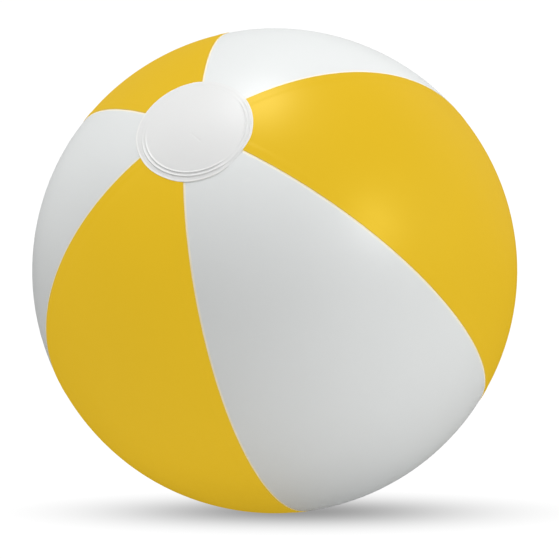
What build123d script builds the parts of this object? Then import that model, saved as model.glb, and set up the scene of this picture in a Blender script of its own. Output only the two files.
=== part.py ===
"""Inflatable beach ball, in millimetres, +Z up, lying on the floor with the origin under its middle.

Six film gores are lap-welded along their edges. A film disc is welded over the gores' ends at each pole.
A valve is welded into one gore: its stem is pressed in flush and can be pulled out, and a plug on a strap
closes it. The ball is built about its own pole axis and is then laid down.
"""
from build123d import *
import math
import os

# Ball and film
BALL_DIAMETER = 255.0
FILM = 0.3
GORE_COUNT = 6
FLOOR_FLAT = 1.0

# How the ball lies, in degrees: the pole's rise over the floor, its turn to the left, the first seam's spin
POLE_RISE = 37.4
POLE_TURN = 23.5
SEAM_SPIN = 40.5

# Welded seams: the lap, the step down to it, and the gap left between two welded films
WELD_LAP = 4.0
WELD_STEP = 0.8
WELD_LINE = 0.05

# Pole discs, with two weld rings, and the round opening at the gores' ends
DISC_DIAMETER = 59.6
END_OPENING = 42.0
RING_MARGIN = 2.2
RING_DIAMETER = DISC_DIAMETER - 2 * RING_MARGIN
RING_PITCH = 1.8
RING_WIDTH = 1.0
RING_HEIGHT = 0.3

# Where the valve sits: its gore, counted from the first seam, and its angle from the rear pole
VALVE_GORE = 1
VALVE_ANGLE = 45.0

# Valve stem, sunk under the ball's surface, and the gap left between seated pieces
SEAT = 0.05
STEM_DIAMETER = 9.4
STEM_BORE = 6.2
STEM_LENGTH = 11.6
STEM_SINK = 2.2
STEM_FOOT = 0.8
STEM_FOOT_LIP = 1.5
STEM_RIM = 1.2
STEM_RIM_LIP = 0.5

# Plug: a round head with a pull tab, and a hollow tapered shank that runs in the stem's bore
PLUG_FIT = 0.05
PLUG_HEAD = 1.5
PLUG_HEAD_DIAMETER = 11.4
PLUG_SHANK = 6.8
PLUG_TAPER = 0.4
PLUG_WALL = 1.2
TAB_REACH = 1.8
TAB_WIDTH = 4.4
TAB_THICKNESS = 0.8

# Strap: a ring round the stem's neck and a ribbon folded down beside the stem
STRAP_THICKNESS = 0.8
STRAP_WIDTH = 3.0
STRAP_BEND = 0.7
STRAP_RING = 1.0
STRAP_FLOOR_GAP = 2.8

# Cup that carries the stem, and the flange that carries the cup
CUP_WALL = 0.6
CUP_TAPER = 0.2
CUP_ROUND = 1.6
CUP_GAP = 0.2
FLANGE_WIDTH = 6.6
FLANGE_THICKNESS = 0.8
FLANGE_RING_INSET = 3.0

# Check flap over the stem's inner end, with a round bead along its hinge
FLAP_OVERLAP = 0.9
FLAP_THICKNESS = 0.5
FLAP_BEAD = 0.3
FLAP_BEAD_LENGTH = 4.0

BALL_RADIUS = BALL_DIAMETER / 2
GORE_ANGLE = 360 / GORE_COUNT
STEM_RADIUS = STEM_DIAMETER / 2
STEM_END = -STEM_SINK - STEM_LENGTH
HEAD_LOW = -STEM_SINK + SEAT
HEAD_RADIUS = PLUG_HEAD_DIAMETER / 2

# The strap's folded ribbon sets the cup's bore, and the cup sets the opening in the flange and gore
CUP_FLOOR = STEM_END + STEM_FOOT + SEAT
NECK_RADIUS = STEM_RADIUS + SEAT + STRAP_RING
INNER_LEG = NECK_RADIUS + STRAP_BEND
OUTER_LEG = INNER_LEG + 2 * STRAP_BEND
STRAP_REACH = math.hypot(OUTER_LEG + STRAP_THICKNESS / 2, STRAP_WIDTH / 2)
CUP_FOOT_RADIUS = STRAP_REACH + CUP_GAP + CUP_WALL
CUP_MOUTH_RADIUS = CUP_FOOT_RADIUS + CUP_TAPER
VALVE_OPENING = CUP_MOUTH_RADIUS + SEAT
FLANGE_RADIUS = VALVE_OPENING + FLANGE_WIDTH

# From the ball's own frame, pole along +Z, to the floor, and from the pole to the valve
LIE = Rot(0, 0, -POLE_TURN) * Rot(90 - POLE_RISE, 0, 0) * Rot(0, 0, SEAM_SPIN)
ON_FLOOR = Pos(0, 0, BALL_RADIUS - FLOOR_FLAT) * LIE
TO_FLOOR = LIE.inverse() * Rot(180, 0, 0)
VALVE_AXIS = Rot(0, 0, (VALVE_GORE + 0.5) * GORE_ANGLE) * Rot(0, 180 - VALVE_ANGLE, 0)
VALVE_FRAME = VALVE_AXIS * Pos(0, 0, BALL_RADIUS)


def film_section(outer, thickness, low, high):
    """Half-section of a film curved about the ball's middle, between two distances from the axis."""
    band = Circle(outer) - Circle(outer - thickness)
    window = Pos((low + high) / 2, outer / 2) * Rectangle(high - low, outer)
    return Plane.XZ * (band & window)


def weld_ring_section(surface, diameter):
    """Half-section of a low round ring that the weld leaves on a film."""
    bead = (RING_WIDTH**2 / 4 + RING_HEIGHT**2) / (2 * RING_HEIGHT)
    lean = math.degrees(math.asin(diameter / 2 / surface))
    place = Rot(0, 0, -lean) * Pos(0, surface + RING_HEIGHT - bead)
    return Plane.XZ * (place * Circle(bead) - Circle(surface - FILM / 2))


def ring_section(inner, outer, low, high):
    """Half-section of a plain ring, between two radii and two heights."""
    return Plane.XZ * Pos((inner + outer) / 2, (low + high) / 2) * Rectangle(outer - inner, high - low)


def pressed_ball(radius, turn):
    """A ball about the same middle, with its underside pressed flat, seen from a gore at that turn."""
    floor = Box(BALL_DIAMETER, BALL_DIAMETER, BALL_DIAMETER, align=(Align.CENTER, Align.CENTER, Align.MIN))
    to_floor = Rot(0, 0, -turn) * TO_FLOOR
    return Rot(0, 0, 180) * Sphere(radius) - to_floor * Pos(0, 0, radius - FLOOR_FLAT) * floor


def film_layer(outer, thickness, turn):
    """The whole ball's film between two radii."""
    return pressed_ball(outer, turn) - pressed_ball(outer - thickness, turn)


def sector(widening):
    """The wedge between a gore's two seams, widened past each of them by a constant width."""
    half_angle = math.radians(GORE_ANGLE / 2)
    apex = -widening / math.sin(half_angle)
    spread = (BALL_DIAMETER - apex) * math.tan(half_angle)
    outline = Polyline((apex, 0), (BALL_DIAMETER, spread), (BALL_DIAMETER, -spread), close=True)
    return extrude(make_face(outline), amount=BALL_DIAMETER, both=True)


def weld_margins(turn):
    """The edges of an under gore: they step in by one film and run under the gores on both sides."""
    under = BALL_RADIUS - FILM - WELD_LINE
    edge = sector(-WELD_LINE / 2)
    inside = sector(-WELD_STEP)
    step = film_layer(BALL_RADIUS, 2 * FILM + WELD_LINE, turn) & (edge - inside)
    lap = film_layer(under, FILM, turn) & (sector(WELD_LAP) - inside)
    return step + lap


def gore(index):
    """One gore, open at both ends. Every other gore has the weld margins that go under its neighbours."""
    turn = (index + 0.5) * GORE_ANGLE
    film = film_layer(BALL_RADIUS, FILM, turn) & sector(-WELD_LINE / 2)
    if index % 2 == 0:
        film += weld_margins(turn)
    film -= Cylinder(END_OPENING / 2, 2 * BALL_DIAMETER)
    film = Rot(0, 0, turn) * film
    if index == VALVE_GORE:
        ring = revolve(weld_ring_section(BALL_RADIUS, 2 * (FLANGE_RADIUS - FLANGE_RING_INSET)), Axis.Z)
        film += VALVE_AXIS * ring
        film -= VALVE_FRAME * Cylinder(VALVE_OPENING, STEM_LENGTH)
    return film


def pole_disc():
    """A film disc over the gores' ends, with two weld rings near its edge."""
    outer = BALL_RADIUS + WELD_LINE + FILM
    section = film_section(outer, FILM, 0, DISC_DIAMETER / 2)
    section += weld_ring_section(outer, RING_DIAMETER)
    section += weld_ring_section(outer, RING_DIAMETER - 2 * RING_PITCH)
    return revolve(section, Axis.Z)


def valve_flange():
    """The valve's round base, welded to the inside of its gore."""
    outer = BALL_RADIUS - FILM - WELD_LINE
    return revolve(film_section(outer, FLANGE_THICKNESS, VALVE_OPENING, FLANGE_RADIUS), Axis.Z)


def valve_cup():
    """The thin cup between the flange and the stem, which rolls when the stem is pressed in or pulled out."""
    under_film = BALL_RADIUS - FILM - WELD_LINE
    mouth = math.sqrt(under_film**2 - VALVE_OPENING**2) - BALL_RADIUS
    middle_top = (CUP_MOUTH_RADIUS - CUP_WALL / 2, mouth)
    middle_foot = (CUP_FOOT_RADIUS - CUP_WALL / 2, CUP_FLOOR + CUP_WALL / 2)
    middle_bore = (STEM_RADIUS + SEAT, CUP_FLOOR + CUP_WALL / 2)
    middle = FilletPolyline(middle_top, middle_foot, middle_bore, radius=CUP_ROUND)
    return revolve(Plane.XZ * trace(middle, line_width=CUP_WALL), Axis.Z)


def valve_stem():
    """The tube that is blown into, with a foot under the cup's floor and a rounded rim."""
    bore = STEM_BORE / 2
    section = ring_section(bore, STEM_RADIUS, STEM_END, -STEM_SINK)
    section += ring_section(bore, STEM_RADIUS + STEM_FOOT_LIP, STEM_END, STEM_END + STEM_FOOT)
    section += ring_section(bore, STEM_RADIUS + STEM_RIM_LIP, -STEM_SINK - STEM_RIM, -STEM_SINK)
    stem = revolve(section, Axis.Z)
    rim = stem.edges().filter_by(GeomType.CIRCLE).group_by(Axis.Z)[-1].sort_by(SortBy.RADIUS)[-1]
    return fillet(rim, STEM_RIM / 3)


def valve_plug():
    """The stopper: a round head with a pull tab, and a hollow shank that tapers to its tip."""
    head = Pos(0, 0, HEAD_LOW) * Cylinder(HEAD_RADIUS, PLUG_HEAD, align=(Align.CENTER, Align.CENTER, Align.MIN))
    head = fillet(head.edges().group_by(Axis.Z)[-1], PLUG_HEAD / 3)
    tab_outline = Pos(-HEAD_RADIUS / 2 - TAB_REACH / 2, 0) * SlotOverall(HEAD_RADIUS + TAB_REACH, TAB_WIDTH)
    tab = Pos(0, 0, HEAD_LOW) * extrude(tab_outline, amount=TAB_THICKNESS)
    shank_radius = STEM_BORE / 2 - PLUG_FIT
    tip = HEAD_LOW - PLUG_SHANK
    outline = Polyline(
        (0, HEAD_LOW),
        (shank_radius, HEAD_LOW),
        (shank_radius, HEAD_LOW - PLUG_SHANK / 3),
        (shank_radius - PLUG_TAPER, tip),
        (0, tip),
        close=True,
    )
    shank = revolve(Plane.XZ * make_face(outline), Axis.Z)
    core = ring_section(0, shank_radius - PLUG_WALL, tip, HEAD_LOW)
    return head + tab + shank - revolve(core, Axis.Z)


def plug_strap():
    """A ring round the stem's neck and a ribbon that folds down beside the stem and up to the plug's head."""
    ring_top = -STEM_SINK - STEM_RIM - SEAT
    ring_middle = ring_top - STRAP_THICKNESS / 2
    head_middle = HEAD_LOW + PLUG_HEAD / 2
    turn_height = CUP_FLOOR + CUP_WALL + STRAP_FLOOR_GAP + STRAP_BEND + STRAP_THICKNESS / 2
    root = Line((NECK_RADIUS - STRAP_RING / 2, ring_middle), (NECK_RADIUS, ring_middle))
    first_bend = JernArc(root @ 1, root % 1, STRAP_BEND, -90)
    inner_leg = Line(first_bend @ 1, (INNER_LEG, turn_height))
    hairpin = JernArc(inner_leg @ 1, inner_leg % 1, STRAP_BEND, 180)
    outer_leg = Line(hairpin @ 1, (OUTER_LEG, head_middle - STRAP_BEND))
    last_bend = JernArc(outer_leg @ 1, outer_leg % 1, STRAP_BEND, 90)
    tip = Line(last_bend @ 1, (HEAD_RADIUS + SEAT, head_middle))
    middle = root + first_bend + inner_leg + hairpin + outer_leg + last_bend + tip
    ribbon = extrude(Plane.XZ * trace(middle, line_width=STRAP_THICKNESS), amount=STRAP_WIDTH / 2, both=True)
    ring = revolve(
        ring_section(STEM_RADIUS + SEAT, NECK_RADIUS, ring_top - STRAP_THICKNESS, ring_top), Axis.Z
    )
    return ring + ribbon


def check_flap():
    """The flap that the air inside holds shut over the stem's end. It swings inwards on its bead."""
    radius = STEM_BORE / 2 + FLAP_OVERLAP
    top = STEM_END - SEAT
    hinge_reach = radius + FLAP_BEAD
    disc = Circle(radius) + Pos(hinge_reach / 2, 0) * Rectangle(hinge_reach, FLAP_BEAD_LENGTH)
    flap = Pos(0, 0, top) * extrude(disc, amount=-FLAP_THICKNESS)
    bead = Pos(hinge_reach, 0, top - FLAP_BEAD) * Rot(90, 0, 0) * Cylinder(FLAP_BEAD, FLAP_BEAD_LENGTH)
    return flap + bead


def main():
    """Build every piece in the ball's own frame, lay it on the floor and write one file for each."""
    pieces = {}
    for index in range(GORE_COUNT):
        colour = ("white", "yellow")[index % 2]
        pieces[f"gore_{colour}_{index // 2 + 1}"] = gore(index)
    pieces["pole_disc_front"] = pole_disc()
    pieces["pole_disc_rear"] = Rot(180, 0, 0) * pole_disc()
    pieces["valve_flange"] = VALVE_AXIS * valve_flange()
    pieces["valve_cup"] = VALVE_FRAME * valve_cup()
    pieces["valve_stem"] = VALVE_FRAME * valve_stem()
    pieces["valve_plug"] = VALVE_FRAME * valve_plug()
    pieces["plug_strap"] = VALVE_FRAME * plug_strap()
    pieces["check_flap"] = VALVE_FRAME * check_flap()
    os.makedirs("parts", exist_ok=True)
    for name, piece in pieces.items():
        export_step(ON_FLOOR * piece, f"parts/{name}.step")


main()
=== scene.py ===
"""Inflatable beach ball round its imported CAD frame: welded film gores, end discs and an air valve."""

import math

import bmesh
import bpy
from bpy.props import FloatProperty, FloatVectorProperty, IntProperty, PointerProperty
from bpy.types import Operator, Panel, PropertyGroup
from mathutils import Matrix, Vector, noise


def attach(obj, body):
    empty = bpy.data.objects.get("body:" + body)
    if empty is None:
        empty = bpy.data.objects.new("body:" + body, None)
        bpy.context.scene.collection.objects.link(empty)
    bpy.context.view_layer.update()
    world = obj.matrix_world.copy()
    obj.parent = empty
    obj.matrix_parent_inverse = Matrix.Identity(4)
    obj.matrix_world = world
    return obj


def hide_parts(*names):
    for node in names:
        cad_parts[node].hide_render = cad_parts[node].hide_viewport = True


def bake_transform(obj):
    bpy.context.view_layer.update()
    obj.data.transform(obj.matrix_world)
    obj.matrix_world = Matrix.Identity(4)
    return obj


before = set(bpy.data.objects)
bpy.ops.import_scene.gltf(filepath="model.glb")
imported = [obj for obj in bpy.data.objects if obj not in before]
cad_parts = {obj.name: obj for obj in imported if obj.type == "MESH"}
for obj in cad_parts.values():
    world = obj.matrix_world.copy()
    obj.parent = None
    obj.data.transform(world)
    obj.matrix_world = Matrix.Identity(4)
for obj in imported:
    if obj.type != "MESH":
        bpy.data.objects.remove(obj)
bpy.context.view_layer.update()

bl_info = {
    "name": "Inflatable Beach Ball",
    "version": (1, 0, 0),
    "blender": (4, 5, 0),
    "location": "View3D > Sidebar > Beach Ball",
    "description": "Welded film gores, end discs and an air valve round the packed frame",
    "category": "Mesh",
}

MM = 0.001
PHOTO_SIDE = 559
INSET_NOTE = "seam_inset"
VINYL_IOR = 1.5
WHITE = (1.0, 1.0, 1.0)
BLACK = (0.0, 0.0, 0.0)
MARK_TINT = (0.93, 0.92, 0.88)

# Mesh steps
MERIDIAN_STEPS = 320
GORE_COLUMNS = 48
DISC_SIDES = 192
HOLE_SIDES = 128
TAB_SIDES = 48
FLOOR_SIDES = 96
SPIN_STEPS = 72
MERGE = 1e-7
CRISP_ANGLE = 40

# Facing is 1 towards the camera's side and -1 away from it. Seams keep their own place from FACING_FRONT on,
# and come back to their even place towards FACING_BACK
FACING_FRONT = 0.05
FACING_BACK = -1.1

# Round the valve, in radii of its hole: seams don't move the film inside the first, and do past the second
VALVE_HELD = 2.0
VALVE_FREE = 4.6

# The same for the film's unevenness and its welds
HOLE_EVEN = 0.9
HOLE_FREE = 1.2

# Stretches of a disc's rim: from one bearing to another, and the fade outside them, in degrees
FLUSH_PLACES = ((-78.0, -64.0, 8.0), (4.0, 52.0, 8.0))
CUT_PLACES = ((-176.0, -156.0, 38.0), (-72.0, -62.0, 22.0))
HIGH_CURL = (135.0, 215.0, 20.0)
RINGS_BELOW = (170.0, 270.0, 26.0)
RINGS_MISSED = (-76.0, -64.0, 14.0)
RINGS_BESIDE = (-50.0, -8.0, 12.0)

# Each light: the setting of its power, its name, place and size in metres, and whether it leaves a glint
LIGHTS = (
    ("top_power", "top_softbox", (-0.095, -0.135, 1.365), (0.24, 0.34), True),
    ("side_power", "side_softbox", (0.89, -0.83, 0.62), (0.35, 0.35), True),
    ("right_fill", "right_fill", (1.3, -0.2, 0.5), (0.8, 0.8), False),
    ("left_fill", "left_fill", (-1.03, 0.0, 1.35), (1.0, 1.0), False),
    ("front_fill", "front_fill", (0.0, -1.03, 1.35), (1.0, 1.0), False),
    ("back_right_fill", "back_right_fill", (1.0, 1.0, 0.8), (1.0, 1.0), False),
    ("back_left_fill", "back_left_fill", (-1.0, 1.0, 0.8), (1.0, 1.0), False),
)


def number(name, description, default, **kind):
    """A number that a user would change."""
    return FloatProperty(name=name, description=description, default=default, **kind)


def length(name, description, default):
    """A length of the object, given in millimetres."""
    return number(name, description, default * MM, unit="LENGTH", subtype="DISTANCE", precision=5)


def lengths(name, description, default):
    """A row of lengths."""
    default = [value * MM for value in default]
    return FloatVectorProperty(
        name=name, description=description, default=default, size=len(default), unit="LENGTH"
    )


def turn(name, description, degrees):
    """An angle, held in radians."""
    return number(name, description, math.radians(degrees), subtype="ANGLE")


def tint(name, description, default):
    """A colour of a finish."""
    return FloatVectorProperty(
        name=name, description=description, default=default, size=3, min=0.0, max=1.0, subtype="COLOR"
    )


def share(name, description, default):
    """A plain share between 0 and 1."""
    return number(name, description, default, min=0.0, max=1.0, subtype="FACTOR")


def watts(name, description, default):
    """The power of a light."""
    return number(name, description, default, unit="POWER")


def pixels(name, description, default):
    """A length in the picture."""
    return number(name, description, default, subtype="PIXEL")


class BallSizes(PropertyGroup):
    """The inflated ball and how it lies."""

    diameter: length("Diameter", "Across the film's outer face", 255.0)
    film: length("Film", "Thickness of the vinyl film", 0.3)
    gore_count: IntProperty(name="Gores", description="Film gores round the ball", default=6, min=4)
    floor_flat: length("Floor flat", "How far the ball is pressed flat on the floor", 1.0)
    pole_rise: turn("Pole rise", "Rise of the front pole over the floor", 37.4)
    pole_turn: turn("Pole turn", "Turn of the front pole to the left", 23.5)
    seam_spin: turn("Seam spin", "Spin of the first seam about the poles", 40.5)
    weld_lap: length("Weld lap", "How far one film runs under the next", 4.0)
    weld_line: length("Weld line", "Gap left between two welded films", 0.03)
    weld_slope: length("Weld slope", "Length over which a film steps at its weld", 1.3)
    seam_dip: length("Seam dip", "How far a seam draws the film in", 0.1)
    seam_reach: length("Seam reach", "How far from a seam the film is drawn in", 7.0)
    pucker: length("Pucker", "Height of the fine puckers along a seam", 0.02)
    pucker_pitch: length("Pucker pitch", "Spacing of the puckers along a seam", 8.0)
    slack: length("Slack", "Height of the slow unevenness of the film", 0.12)
    end_opening: length("End opening", "Round opening at the gores' ends, under the disc", 42.0)
    seam_lean: lengths(
        "Seam lean", "How far each seam misses the front pole", (-3.0, -4.2, 1.7, -1.7, -2.9, -1.4)
    )
    seam_bow: lengths(
        "Seam bow", "How far each seam is off its even place midway", (7.4, 9.3, -6.0, 0.8, 3.4, 0.3)
    )


class DiscSizes(PropertyGroup):
    """The film discs over the poles."""

    diameter: length("Diameter", "Across the disc", 60.4)
    stretch: share("Stretch", "How much longer than round the disc is one way, and shorter the other", 0.035)
    stretch_bearing: turn("Stretch bearing", "Which way the disc is longer", 102.4)
    lift: length("Lift", "Height of the disc's underside over the gores", -0.04)
    shift: length("Shift", "How far the front disc lies off the pole", 1.6)
    bearing: turn("Bearing", "Which way the front disc is shifted", -93.0)
    ring_diameter: length("Ring diameter", "Across the outer weld ring", 55.1)
    ring_pitch: length("Ring pitch", "From the outer weld ring to the inner one", 1.8)
    ring_inside: length("Ring inside", "Half width of a weld ring on its inner flank", 0.5)
    ring_outside: length("Ring outside", "Half width of a weld ring on its outer flank", 0.25)
    ring_height: length("Ring height", "Height of a weld ring where it is well pressed", 0.46)
    ring_faint: share("Faint ring", "Height of a weld ring where it is hardly pressed, as a share", 0.12)
    ring_shift: length("Ring shift", "How far the rings lie off the disc's middle", 1.14)
    ring_bearing: turn("Ring bearing", "Which way the rings are shifted", -17.4)
    lip_height: length("Lip height", "How far the disc's rim curls up", 0.2)
    lip_width: length("Lip width", "Width of the curled rim", 1.2)
    cut_depth: length("Cut depth", "How far the rim is cut in where the disc is cut too tight", 0.75)
    flush_width: length("Flush width", "Width of the rim where it is melted flush", 2.0)
    flush_height: length("Flush height", "What is left of the rim's height there", 0.05)
    crown: length("Crown", "How far the middle swells", 0.25)
    crease_depth: length("Crease depth", "Depth of the small crease by the middle", 0.13)
    crease_width: length("Crease width", "Half width of that crease", 0.35)
    crease_start: lengths("Crease start", "The crease's shallow end", (-1.83, -4.22))
    crease_end: lengths("Crease end", "The crease's deep end", (-0.28, -10.2))


class ValveSizes(PropertyGroup):
    """The air valve, pressed in flush."""

    gore: IntProperty(name="Gore", description="Gore that carries the valve", default=1, min=0)
    angle: turn("Angle", "From the rear pole to the valve", 45.0)
    opening: length("Opening", "Radius of the hole in the film", 9.435)
    ring: length("Weld ring", "Radius of the weld ring round the hole", 13.035)
    ring_rise: length("Weld ring rise", "Height of that weld ring", 0.3)
    ring_half: length("Weld ring half", "Half width of that weld ring", 0.42)
    patch: length("Patch", "Radius out to which the film's mesh runs in rings about the hole", 18.0)
    grid_start: length("Grid start", "Radius from which the film's mesh is an even grid again", 21.0)
    cup_mouth: length("Cup mouth", "Radius of the cup's wall at its mouth", 9.085)
    cup_foot: length("Cup foot", "Radius of the cup's wall at its foot", 8.885)
    cup_top: length("Cup top", "Height of the cup's mouth", -0.7)
    cup_floor: length("Cup floor", "Height of the cup's floor", -12.65)
    cup_round: length("Cup round", "Radius between the cup's wall and floor", 1.6)
    cup_wall: length("Cup wall", "Thickness of the cup", 0.6)
    stem_radius: length("Stem radius", "Radius of the stem", 4.7)
    stem_bore: length("Stem bore", "Radius of the stem's bore", 3.1)
    stem_top: length("Stem top", "Height of the stem's rim", -2.2)
    stem_end: length("Stem end", "Height of the stem's foot", -13.8)
    stem_rim: length("Stem rim", "Height of the rim's band", 1.2)
    stem_rim_lip: length("Stem rim lip", "How far the rim stands out", 0.5)
    stem_foot: length("Stem foot", "Height of the foot", 0.8)
    stem_foot_lip: length("Stem foot lip", "How far the foot stands out", 1.5)
    stem_edge: length("Stem edge", "Rounding of the stem's edges", 0.22)
    plug_radius: length("Plug radius", "Radius of the plug's head", 5.7)
    plug_top: length("Plug top", "Height of the plug's head", -0.65)
    plug_low: length("Plug low", "Height of the head's underside", -2.15)
    plug_dish: length("Plug dish", "Depth of the dish in the head", 0.25)
    plug_edge: length("Plug edge", "Rounding of the plug's edges", 0.3)
    shank_radius: length("Shank radius", "Radius of the plug's shank", 3.05)
    shank_tip: length("Shank tip", "Height of the shank's tip", -8.95)
    shank_taper: length("Shank taper", "How much the shank narrows", 0.4)
    shank_core: length("Shank core", "Radius of the shank's hollow", 1.85)
    tab_reach: length("Tab reach", "How far the pull tab stands out", 7.5)
    tab_width: length("Tab width", "Width of the pull tab", 4.4)
    tab_thickness: length("Tab thickness", "Thickness of the pull tab", 0.8)
    tab_edge: length("Tab edge", "Rounding of the tab's edges", 0.2)
    strap_width: length("Strap width", "Width of the strap", 3.0)
    strap_thickness: length("Strap thickness", "Thickness of the strap", 0.8)
    strap_edge: length("Strap edge", "Rounding of the strap's edges", 0.15)
    strap_bend: length("Strap bend", "Radius of the strap's bends", 0.7)
    strap_ring: length("Strap ring", "Outer radius of the ring round the stem", 5.75)
    strap_ring_bore: length("Strap ring bore", "Inner radius of that ring", 4.75)
    strap_ring_height: length("Strap ring height", "Height of the ring's middle", -3.85)
    strap_turn: length("Strap turn", "Height of the strap's lower fold", -8.45)
    strap_head: length("Strap head", "Height where the strap meets the plug", -1.4)


class Finishes(PropertyGroup):
    """Colours and gloss of the film and the valve."""

    white: tint("White film", "Colour of the white gores", (0.772, 0.790, 0.786))
    disc: tint("Disc film", "Colour of the discs", (0.770, 0.773, 0.767))
    yellow: tint("Yellow film", "Colour of the yellow gores", (0.243, 0.155, 0.0060))
    # Painted glow: the yellow film emits light in its own colour in place of daylight through the film; near
    # the floor this glow is painted darker as shade
    yellow_painted_glow: number("Yellow glow", "Daylight through the yellow film, as a share of its colour", 2.19)
    glow_floor_shade: share("Dim by the floor", "What is left of that daylight close to the floor", 0.87)
    glow_floor_shade_rise: length("Dim rise", "Height over the floor up to which it is dimmed", 40.0)
    yellow_sheen: tint("Yellow gloss", "Tint of the yellow film's gloss", (1.0, 0.85, 0.16))
    # The white edge is a painted highlight: a cream line, lighter than the film, beside each weld
    white_edge: tint("White edge", "Colour of the white film beside a weld", (0.96, 0.90, 0.73))
    yellow_edge: tint("Yellow edge", "Colour of the yellow film at its cut edge", (0.226, 0.150, 0.0095))
    # The disc edge is a pale cut edge and partly a painted highlight along the disc's rim
    disc_edge: tint("Disc edge", "Colour of a disc at its rim", (0.83, 0.83, 0.81))
    vinyl: tint("Clear vinyl", "Colour of the valve", (0.86, 0.88, 0.87))
    gloss_white: share("White roughness", "Roughness of the white film", 0.42)
    gloss_yellow: share("Yellow roughness", "Roughness of the yellow film", 0.40)
    gloss_vinyl: share("Valve roughness", "Roughness of the valve", 0.28)


class StageLook(PropertyGroup):
    """Camera, floor and lights."""

    camera_rise: turn("Camera rise", "Camera's height over the ball's middle", 4.5)
    camera_reach: number("Camera reach", "Camera's distance in ball radii", 8.0)
    outline: pixels("Outline", "Radius of the ball's outline in the picture", 242.6)
    left: pixels("Left", "How far the ball is left of the picture's middle", 4.75)
    above: pixels("Above", "How far the ball is above the picture's middle", 8.75)
    floor: tint("Floor", "Colour of the floor", (0.5, 0.5, 0.5))
    floor_reach: length("Floor reach", "Radius of the floor", 6000.0)
    floor_glow: number("Floor glow", "Light that comes through the floor, as on a light table", 0.317)
    # The ball's shadow on the floor is painted: a set soft oval, not cast by the lights
    shadow_base: number("Shadow base", "Brightness of the floor under the ball", 0.319)
    shadow_gain: number("Shadow gain", "Brightness that the open floor has over that", 0.739)
    shadow_width: length("Shadow width", "Spread of the ball's shadow from side to side", 93.8)
    shadow_depth: length("Shadow depth", "Spread of the ball's shadow from front to back", 36.9)
    shadow_right: length("Shadow right", "How far the shadow lies to the right", 9.8)
    shadow_front: length("Shadow front", "How far the shadow lies to the front", 13.0)
    sky: number("Sky", "Even light from all round", 0.09)
    backdrop: number("Backdrop", "Brightness of the white behind the ball", 1.05)
    top_power: watts("Top light", "Power of the softbox overhead", 5.4)
    side_power: watts("Side light", "Power of the softbox at the right", 4.4)
    right_fill: watts("Right fill", "Power of the fill light at the right", 4.0)
    left_fill: watts("Left fill", "Power of the fill light high at the left", 11.4)
    front_fill: watts("Front fill", "Power of the fill light high in front", 5.1)
    back_right_fill: watts("Back right fill", "Power of the fill light behind at the right", 10.6)
    back_left_fill: watts("Back left fill", "Power of the fill light behind at the left", 4.6)


class BeachBall(PropertyGroup):
    """All settings of the ball."""

    ball: PointerProperty(type=BallSizes)
    disc: PointerProperty(type=DiscSizes)
    valve: PointerProperty(type=ValveSizes)
    finish: PointerProperty(type=Finishes)
    stage: PointerProperty(type=StageLook)


def smooth(low, high, value):
    """0 below low, 1 above high, and a smooth rise between."""
    at = min(1.0, max(0.0, (value - low) / (high - low)))
    return at * at * (3.0 - 2.0 * at)


def bell(value, width):
    """A smooth round bump, 1 in its middle."""
    return math.exp(-((value / width) ** 2))


def ball_frame(ball):
    """From the ball's own frame, pole along +Z, to the floor."""
    middle = Vector((0.0, 0.0, ball.diameter / 2 - ball.floor_flat))
    lie = Matrix.Rotation(-ball.pole_turn, 4, "Z")
    lie = lie @ Matrix.Rotation(math.pi / 2 - ball.pole_rise, 4, "X")
    lie = lie @ Matrix.Rotation(ball.seam_spin, 4, "Z")
    return Matrix.Translation(middle) @ lie


def valve_frame(ball, valve):
    """From the valve's frame, its axis along +Z and the ball's surface at 0, to the floor."""
    gore_turn = (valve.gore + 0.5) * 2 * math.pi / ball.gore_count
    axis = Matrix.Rotation(gore_turn, 4, "Z") @ Matrix.Rotation(math.pi - valve.angle, 4, "Y")
    return ball_frame(ball) @ axis @ Matrix.Translation((0.0, 0.0, ball.diameter / 2))


def clear_selection():
    """Leaves edit mode and deselects every object."""
    if bpy.context.object is not None and bpy.context.object.mode != "OBJECT":
        bpy.ops.object.mode_set(mode="OBJECT")
    bpy.ops.object.select_all(action="DESELECT")


def named(name):
    """Names the object that was just added, and its mesh."""
    piece = bpy.context.object
    piece.name = name
    piece.data.name = name
    return piece


def pick(piece, kind, test):
    """In edit mode, selects the vertices, edges or faces that pass the test."""
    bpy.ops.mesh.select_mode(type=kind)
    bpy.ops.mesh.select_all(action="DESELECT")
    shape = bmesh.from_edit_mesh(piece.data)
    parts = {"VERT": shape.verts, "EDGE": shape.edges, "FACE": shape.faces}[kind]
    for part in parts:
        if test(part):
            part.select_set(True)
    shape.select_flush_mode()
    bmesh.update_edit_mesh(piece.data)


def choose(piece):
    """Makes a piece the only selected object and the active one."""
    clear_selection()
    piece.select_set(True)
    bpy.context.view_layer.objects.active = piece


def turn_out():
    """Turns all faces of the mesh in edit mode outwards and leaves edit mode."""
    bpy.ops.mesh.select_all(action="SELECT")
    bpy.ops.mesh.normals_make_consistent(inside=False)
    bpy.ops.object.mode_set(mode="OBJECT")


def apply_modifier(piece, kind, **values):
    """Adds a modifier, sets it and applies it."""
    choose(piece)
    modifier = piece.modifiers.new(kind.title(), kind)
    for key, value in values.items():
        setattr(modifier, key, value)
    bpy.ops.object.modifier_apply(modifier=modifier.name)


def soften(piece, width, segments):
    """Rounds a piece's edges."""
    apply_modifier(piece, "BEVEL", width=width, segments=segments, limit_method="ANGLE")


def shade(piece):
    """Smooth shading, with sharp edges kept crisp."""
    choose(piece)
    bpy.ops.object.shade_smooth_by_angle(angle=math.radians(CRISP_ANGLE))


def note_insets(piece, insets):
    """Keeps each point's distance from its film's edge for the material."""
    note = piece.data.attributes.new(INSET_NOTE, "FLOAT", "POINT")
    note.data.foreach_set("value", insets)


def dress(piece, material, body, slot, *nodes):
    """Gives a piece its material and its body, and hides the CAD nodes that it stands for. The slot is not
    used.
    """
    piece.data.materials.clear()
    piece.data.materials.append(material)
    if body is not None:
        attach(piece, body)
    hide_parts(*nodes)


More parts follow.
